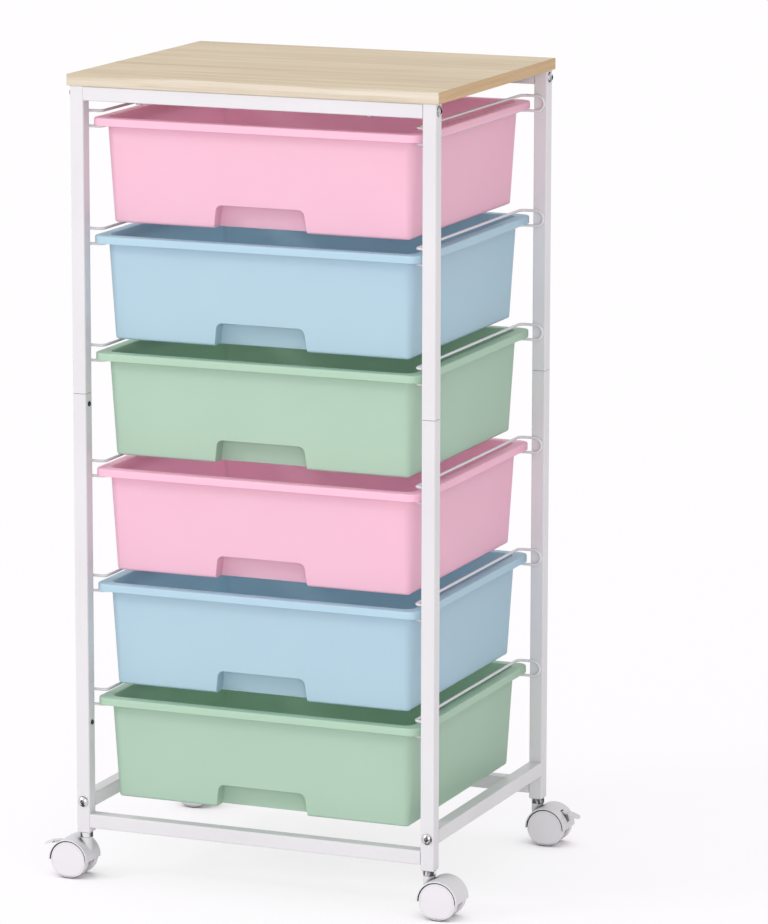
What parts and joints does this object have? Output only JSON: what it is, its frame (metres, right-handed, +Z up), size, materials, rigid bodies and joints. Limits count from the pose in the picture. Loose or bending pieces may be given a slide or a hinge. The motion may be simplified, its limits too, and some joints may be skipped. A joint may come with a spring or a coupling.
{
  "type": "rolling drawer tower",
  "caption": "Rolling drawer tower: square-tube steel frame with a wooden top, tapered plastic drawers sliding on wire loops, and twin-wheel swivel casters.",
  "frame": {"origin": "on the floor at the middle of the footprint", "axes": "+Z up, drawers open towards -Y, +X to the right of someone who faces the drawers"},
  "size_m": [0.485, 0.348, 0.85],
  "materials": {
    "wood_top": "satin oiled light oak board",
    "white_paint": "smooth white powder coat",
    "pink_plastic": "smooth moulded, slightly translucent look",
    "blue_plastic": "smooth moulded, slightly translucent look",
    "green_plastic": "smooth moulded, slightly translucent look",
    "white_plastic": "smooth moulded",
    "white_wheels": "smooth moulded",
    "grey_plastic": "smooth moulded",
    "chrome_stems": "bright plated",
    "zinc_bolts": "bright zinc plated",
    "zinc_screws": "zinc plated",
    "dark_screws": "blackened"
  },
  "bodies": {
    "frame": {"table_top": "wood_top", "table_screws": "zinc_screws", "front_top_bar": "white_paint", "rear_top_bar": "white_paint", "front_lower_bar": "white_paint", "rear_lower_bar": "white_paint", "left_side_bar": "white_paint", "right_side_bar": "white_paint", "bar_end_nuts": "zinc_screws", "top_bar_bolts": "zinc_bolts", "side_bar_bolts": "zinc_bolts", "post_joiners": "zinc_screws", "post_screws": "dark_screws", "post_caps": "grey_plastic", "stem_sockets": "white_plastic", "caster_stems": "chrome_stems", "front_left_upper_post": "white_paint", "front_left_lower_post": "white_paint", "front_right_upper_post": "white_paint", "front_right_lower_post": "white_paint", "rear_left_upper_post": "white_paint", "rear_left_lower_post": "white_paint", "rear_right_upper_post": "white_paint", "rear_right_lower_post": "white_paint", "left_runner_1": "white_paint", "right_runner_1": "white_paint", "left_runner_2": "white_paint", "right_runner_2": "white_paint", "left_runner_3": "white_paint", "right_runner_3": "white_paint", "left_runner_4": "white_paint", "right_runner_4": "white_paint", "left_runner_5": "white_paint", "right_runner_5": "white_paint", "left_runner_6": "white_paint", "right_runner_6": "white_paint"},
    "drawer_1_body": {"drawer_1": "pink_plastic"},
    "drawer_2_body": {"drawer_2": "blue_plastic"},
    "drawer_3_body": {"drawer_3": "green_plastic"},
    "drawer_4_body": {"drawer_4": "pink_plastic"},
    "drawer_5_body": {"drawer_5": "blue_plastic"},
    "drawer_6_body": {"drawer_6": "green_plastic"},
    "front_left_caster": {"front_left_caster_hood": "white_plastic", "front_left_caster_axle": "zinc_screws"},
    "front_left_caster_front_wheel_body": {"front_left_caster_front_wheel": "white_wheels"},
    "front_left_caster_rear_wheel_body": {"front_left_caster_rear_wheel": "white_wheels"},
    "front_left_brake_lever_body": {"front_left_brake_lever": "white_plastic"},
    "front_right_caster": {"front_right_caster_hood": "white_plastic", "front_right_caster_axle": "zinc_screws"},
    "front_right_caster_front_wheel_body": {"front_right_caster_front_wheel": "white_wheels"},
    "front_right_caster_rear_wheel_body": {"front_right_caster_rear_wheel": "white_wheels"},
    "rear_left_caster": {"rear_left_caster_hood": "white_plastic", "rear_left_caster_axle": "zinc_screws"},
    "rear_left_caster_front_wheel_body": {"rear_left_caster_front_wheel": "white_wheels"},
    "rear_left_caster_rear_wheel_body": {"rear_left_caster_rear_wheel": "white_wheels"},
    "rear_right_caster": {"rear_right_caster_hood": "white_plastic", "rear_right_caster_axle": "zinc_screws"},
    "rear_right_caster_front_wheel_body": {"rear_right_caster_front_wheel": "white_wheels"},
    "rear_right_caster_rear_wheel_body": {"rear_right_caster_rear_wheel": "white_wheels"},
    "rear_right_brake_lever_body": {"rear_right_brake_lever": "white_plastic"}
  },
  "joints": [
    {"name": "drawer_1_slide", "type": "slide", "parent": "frame", "child": "drawer_1_body", "axis": [0, -1, 0], "range_m": [0, 0.25]},
    {"name": "drawer_2_slide", "type": "slide", "parent": "frame", "child": "drawer_2_body", "axis": [0, -1, 0], "range_m": [0, 0.25]},
    {"name": "drawer_3_slide", "type": "slide", "parent": "frame", "child": "drawer_3_body", "axis": [0, -1, 0], "range_m": [0, 0.25]},
    {"name": "drawer_4_slide", "type": "slide", "parent": "frame", "child": "drawer_4_body", "axis": [0, -1, 0], "range_m": [0, 0.25]},
    {"name": "drawer_5_slide", "type": "slide", "parent": "frame", "child": "drawer_5_body", "axis": [0, -1, 0], "range_m": [0, 0.25]},
    {"name": "drawer_6_slide", "type": "slide", "parent": "frame", "child": "drawer_6_body", "axis": [0, -1, 0], "range_m": [0, 0.25]},
    {"name": "front_left_swivel", "type": "hinge", "parent": "frame", "child": "front_left_caster", "pos_m": [-0.1945, -0.1565, 0.0437], "axis": [0, 0, 1], "continuous": true},
    {"name": "front_left_caster_front_wheel_spin", "type": "hinge", "parent": "front_left_caster", "child": "front_left_caster_front_wheel_body", "pos_m": [-0.2088, -0.1565, 0.02], "axis": [0, 1, 0], "continuous": true},
    {"name": "front_left_caster_rear_wheel_spin", "type": "hinge", "parent": "front_left_caster", "child": "front_left_caster_rear_wheel_body", "pos_m": [-0.2088, -0.1565, 0.02], "axis": [0, 1, 0], "continuous": true},
    {"name": "front_left_brake_lever_hinge", "type": "hinge", "parent": "front_left_caster", "child": "front_left_brake_lever_body", "pos_m": [-0.2203, -0.1565, 0.0315], "axis": [0, -1, 0], "range_deg": [0, 20]},
    {"name": "front_right_swivel", "type": "hinge", "parent": "frame", "child": "front_right_caster", "pos_m": [0.1945, -0.1565, 0.0437], "axis": [0, 0, 1], "continuous": true},
    {"name": "front_right_caster_front_wheel_spin", "type": "hinge", "parent": "front_right_caster", "child": "front_right_caster_front_wheel_body", "pos_m": [0.2088, -0.1565, 0.02], "axis": [0, 1, 0], "continuous": true},
    {"name": "front_right_caster_rear_wheel_spin", "type": "hinge", "parent": "front_right_caster", "child": "front_right_caster_rear_wheel_body", "pos_m": [0.2088, -0.1565, 0.02], "axis": [0, 1, 0], "continuous": true},
    {"name": "rear_left_swivel", "type": "hinge", "parent": "frame", "child": "rear_left_caster", "pos_m": [-0.1945, 0.1565, 0.0437], "axis": [0, 0, 1], "continuous": true},
    {"name": "rear_left_caster_front_wheel_spin", "type": "hinge", "parent": "rear_left_caster", "child": "rear_left_caster_front_wheel_body", "pos_m": [-0.2088, 0.1565, 0.02], "axis": [0, 1, 0], "continuous": true},
    {"name": "rear_left_caster_rear_wheel_spin", "type": "hinge", "parent": "rear_left_caster", "child": "rear_left_caster_rear_wheel_body", "pos_m": [-0.2088, 0.1565, 0.02], "axis": [0, 1, 0], "continuous": true},
    {"name": "rear_right_swivel", "type": "hinge", "parent": "frame", "child": "rear_right_caster", "pos_m": [0.1945, 0.1565, 0.0437], "axis": [0, 0, 1], "continuous": true},
    {"name": "rear_right_caster_front_wheel_spin", "type": "hinge", "parent": "rear_right_caster", "child": "rear_right_caster_front_wheel_body", "pos_m": [0.2088, 0.1565, 0.02], "axis": [0, 1, 0], "continuous": true},
    {"name": "rear_right_caster_rear_wheel_spin", "type": "hinge", "parent": "rear_right_caster", "child": "rear_right_caster_rear_wheel_body", "pos_m": [0.2088, 0.1565, 0.02], "axis": [0, 1, 0], "continuous": true},
    {"name": "rear_right_brake_lever_hinge", "type": "hinge", "parent": "rear_right_caster", "child": "rear_right_brake_lever_body", "pos_m": [0.2203, 0.1565, 0.0315], "axis": [0, 1, 0], "range_deg": [0, 20]}
  ]
}
